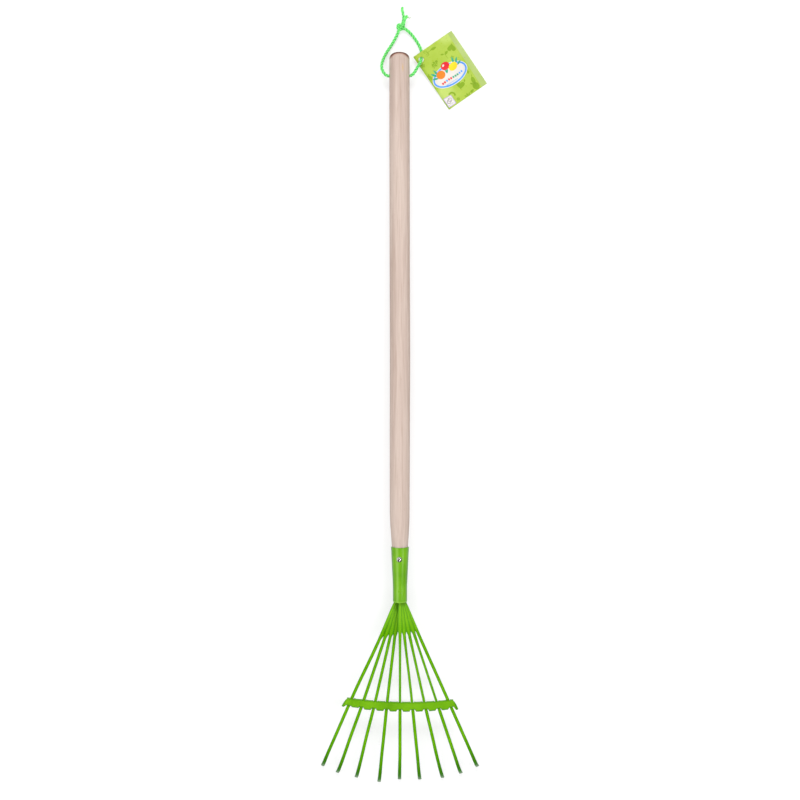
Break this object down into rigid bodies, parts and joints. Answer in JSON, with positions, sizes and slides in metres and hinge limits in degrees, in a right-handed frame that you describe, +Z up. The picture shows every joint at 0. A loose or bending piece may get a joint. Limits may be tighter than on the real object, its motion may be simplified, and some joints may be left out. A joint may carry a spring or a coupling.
{
  "type": "leaf rake",
  "caption": "Small garden leaf rake: flat steel tines fanned from a tapered socket, tied by a folded brace, on a round wooden handle with a rope hanging loop and card tag.",
  "frame": {"origin": "on the surface that the rake lies on, under the middle of the rake without its rope loop and tag", "axes": "+Y towards the end of the handle, +Z up out of the rake's face, +X to the right when the face is seen with the handle end up"},
  "size_m": [0.2092, 0.9717, 0.0387],
  "materials": {
    "green_paint": "glossy leaf-green enamel over sheet steel",
    "wood": "pale close-grained hardwood, smoothly sanded, unvarnished",
    "screw_steel": "zinc-plated steel",
    "rope": "twisted light-green polypropylene rope",
    "card": "glossy printed card"
  },
  "bodies": {
    "rake": {"handle": "wood", "socket": "green_paint", "socket_screw": "screw_steel", "tine_rivet": "green_paint"},
    "tine_fan": {"tine_1": "green_paint", "tine_2": "green_paint", "tine_3": "green_paint", "tine_4": "green_paint", "tine_5": "green_paint", "tine_6": "green_paint", "tine_7": "green_paint", "tine_8": "green_paint", "tine_9": "green_paint", "tine_brace": "green_paint"},
    "rope_loop": {"cord_in_handle": "rope", "cord_left": "rope", "cord_right": "rope", "cord_knot": "rope", "cord_tail_long": "rope", "cord_tail_short": "rope"},
    "tag": {"card_tag": "card"}
  },
  "joints": [
    {"name": "tine_flex", "type": "hinge", "parent": "rake", "child": "tine_fan", "pos_m": [0, -0.21363, 0.02694], "axis": [1, 0, 0], "range_deg": [-3.5, 3.5], "stiffness_Nm_per_rad": 45},
    {"name": "loop_swing", "type": "hinge", "parent": "rake", "child": "rope_loop", "pos_m": [0, 0.42632, 0.01308], "axis": [1, 0, 0], "range_deg": [-148, 160]},
    {"name": "tag_swing", "type": "hinge", "parent": "rope_loop", "child": "tag", "pos_m": [0.0265, 0.4482, 0.0054], "axis": [0.0387, -0.0559, 0.9977], "range_deg": [-36, 60]}
  ]
}
